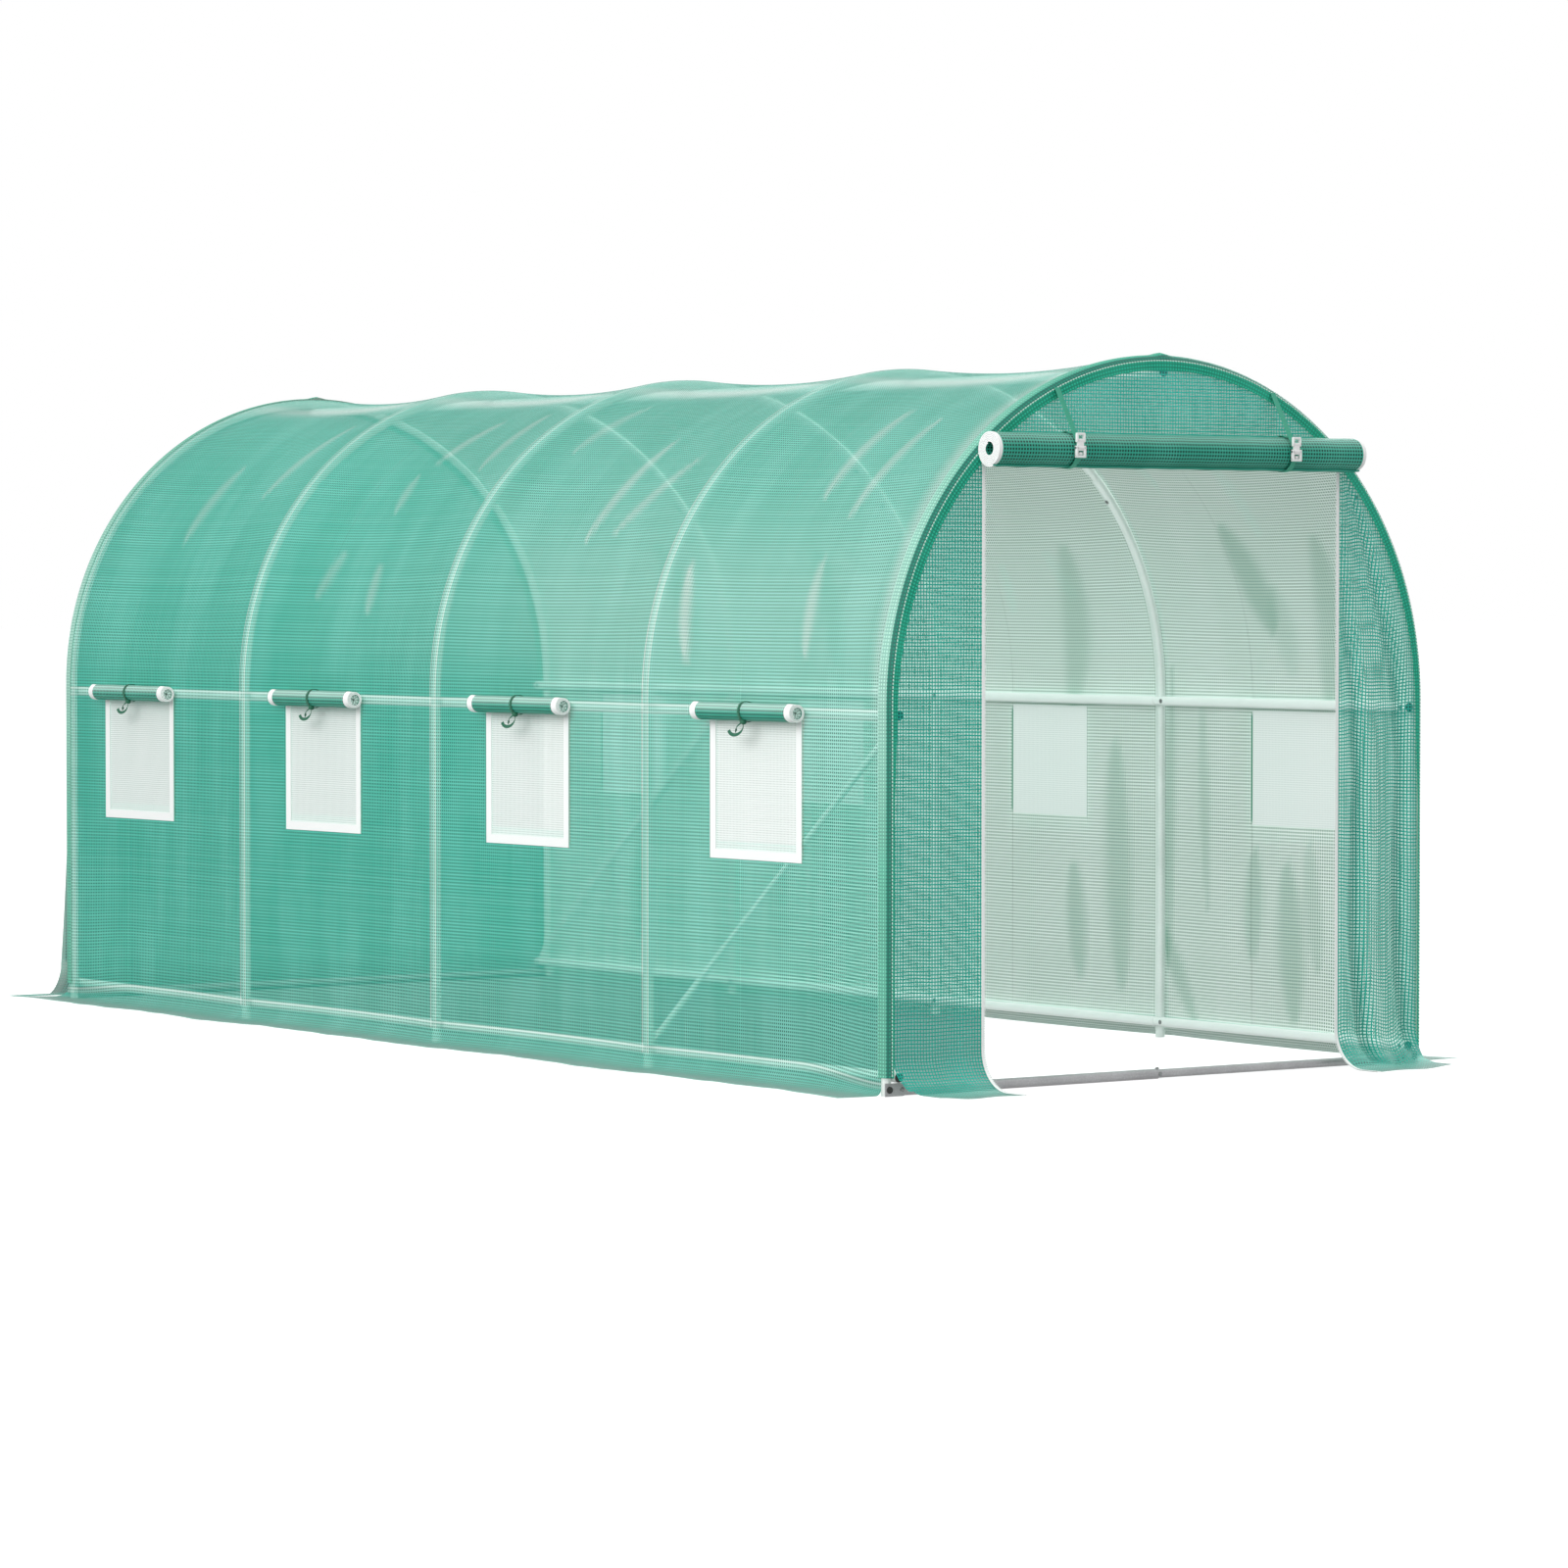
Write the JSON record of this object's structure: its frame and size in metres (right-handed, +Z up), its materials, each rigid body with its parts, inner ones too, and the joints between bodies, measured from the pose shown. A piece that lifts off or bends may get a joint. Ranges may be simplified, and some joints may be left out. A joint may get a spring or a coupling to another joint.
{
  "type": "polytunnel greenhouse",
  "caption": "Walk-in tunnel greenhouse: round-arched tube hoops and rails under a green woven cover, with roll-up side windows and a rolled-up front door.",
  "frame": {"origin": "on the ground, at the middle of the tunnel's footprint", "axes": "+Z up, +Y along the tunnel from the doorway end to the closed end, +X to the right seen from the doorway"},
  "size_m": [2.202, 4.9246, 2.0023],
  "materials": {
    "frame_tube": "satin",
    "zinc": "satin",
    "plug": "matte",
    "cover": "woven",
    "door_cover": "woven",
    "screen": "fine mesh",
    "tape": "matte",
    "webbing": "woven",
    "buckle": "gloss"
  },
  "bodies": {
    "root": {"hoop_1": "frame_tube", "hoop_2": "frame_tube", "hoop_3": "frame_tube", "hoop_4": "frame_tube", "hoop_5": "frame_tube", "ridge_rail": "frame_tube", "left_mid_rail": "frame_tube", "right_mid_rail": "frame_tube", "left_base_rail": "frame_tube", "right_base_rail": "frame_tube", "front_sill_rail": "zinc", "back_sill_rail": "zinc", "left_front_brace": "frame_tube", "right_back_brace": "frame_tube", "rail_plugs": "plug", "corner_brackets": "zinc", "roof_bay_1": "cover", "roof_bay_2": "cover", "roof_bay_3": "cover", "roof_bay_4": "cover", "left_wall": "cover", "right_wall": "cover", "front_gable": "cover", "front_left_panel": "cover", "front_right_panel": "cover", "back_panel": "cover", "front_edge_band": "cover", "back_edge_band": "cover", "left_ground_flap": "cover", "right_ground_flap": "cover", "front_ground_flaps": "cover", "back_ground_flap": "cover", "window_screens": "screen", "window_borders": "tape", "window_rolls": "cover", "window_roll_ends": "tape", "window_ties": "webbing", "door_roll": "door_cover", "door_straps": "webbing", "door_buckles": "buckle", "door_zips": "tape"}
  },
  "joints": []
}
